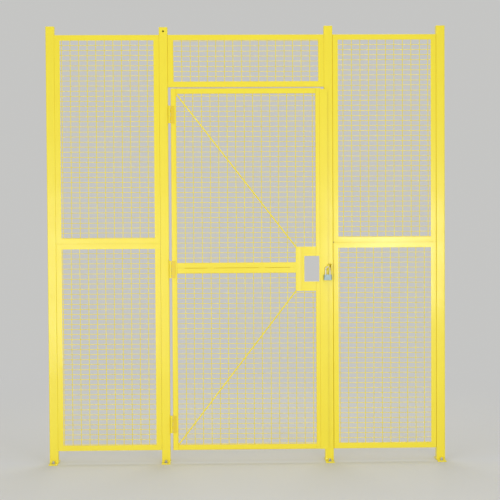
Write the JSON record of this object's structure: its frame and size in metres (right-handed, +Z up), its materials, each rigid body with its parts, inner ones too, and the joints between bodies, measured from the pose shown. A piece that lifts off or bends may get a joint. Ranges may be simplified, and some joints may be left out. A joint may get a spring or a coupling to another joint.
{
  "type": "wire partition door",
  "caption": "Yellow hinged wire-mesh partition door with a fixed transom, hung between square posts with mesh panels beside it.",
  "frame": {"origin": "middle of the hinge post's base plate, on its underside at floor level", "axes": "+X along the partition from the hinge post to the latch post, +Y to the back, +Z up; the leaf opens towards -Y"},
  "size_m": [2.3368, 0.1524, 2.5654],
  "materials": {
    "yellow_paint": "gloss powder coat",
    "padlock_steel": "satin"
  },
  "bodies": {
    "partition": {"bottom_hinge_post_leaf": "yellow_paint", "hinge_pins": "yellow_paint", "hinge_post": "yellow_paint", "hinge_post_base_plate": "yellow_paint", "latch_post": "yellow_paint", "latch_post_base_plate": "yellow_paint", "left_end_post": "yellow_paint", "left_end_post_base_plate": "yellow_paint", "left_lower_panel_frame": "yellow_paint", "left_lower_panel_mesh": "yellow_paint", "left_upper_panel_frame": "yellow_paint", "left_upper_panel_mesh": "yellow_paint", "middle_hinge_post_leaf": "yellow_paint", "post_caps": "yellow_paint", "post_lug": "yellow_paint", "right_end_post": "yellow_paint", "right_end_post_base_plate": "yellow_paint", "right_lower_panel_frame": "yellow_paint", "right_lower_panel_mesh": "yellow_paint", "right_upper_panel_frame": "yellow_paint", "right_upper_panel_mesh": "yellow_paint", "top_hinge_post_leaf": "yellow_paint", "transom_frame": "yellow_paint", "transom_mesh": "yellow_paint"},
    "door": {"bottom_hinge_door_leaf": "yellow_paint", "door_bottom_rail": "yellow_paint", "door_cover_strip": "yellow_paint", "door_hinge_stile": "yellow_paint", "door_latch_stile": "yellow_paint", "door_lower_brace": "yellow_paint", "door_lower_mesh_far": "yellow_paint", "door_lower_mesh_lock_side": "yellow_paint", "door_lower_mesh_near": "yellow_paint", "door_lower_mid_rail": "yellow_paint", "door_lug": "yellow_paint", "door_top_rail": "yellow_paint", "door_upper_brace": "yellow_paint", "door_upper_mesh_far": "yellow_paint", "door_upper_mesh_lock_side": "yellow_paint", "door_upper_mesh_near": "yellow_paint", "door_upper_mid_rail": "yellow_paint", "middle_hinge_door_leaf": "yellow_paint", "top_hinge_door_leaf": "yellow_paint", "lock_plate": "yellow_paint"},
    "padlock": {"padlock_body": "padlock_steel", "padlock_shackle": "padlock_steel"}
  },
  "joints": [
    {"name": "door_swing", "type": "hinge", "parent": "partition", "child": "door", "pos_m": [0.0334, -0.0374, 1.1375], "axis": [0, 0, -1], "range_deg": [0, 170]},
    {"name": "padlock_swing", "type": "hinge", "parent": "door", "child": "padlock", "pos_m": [0.9614, -0.0486, 1.1505], "axis": [-1, 0, 0], "range_deg": [0, 90]}
  ]
}
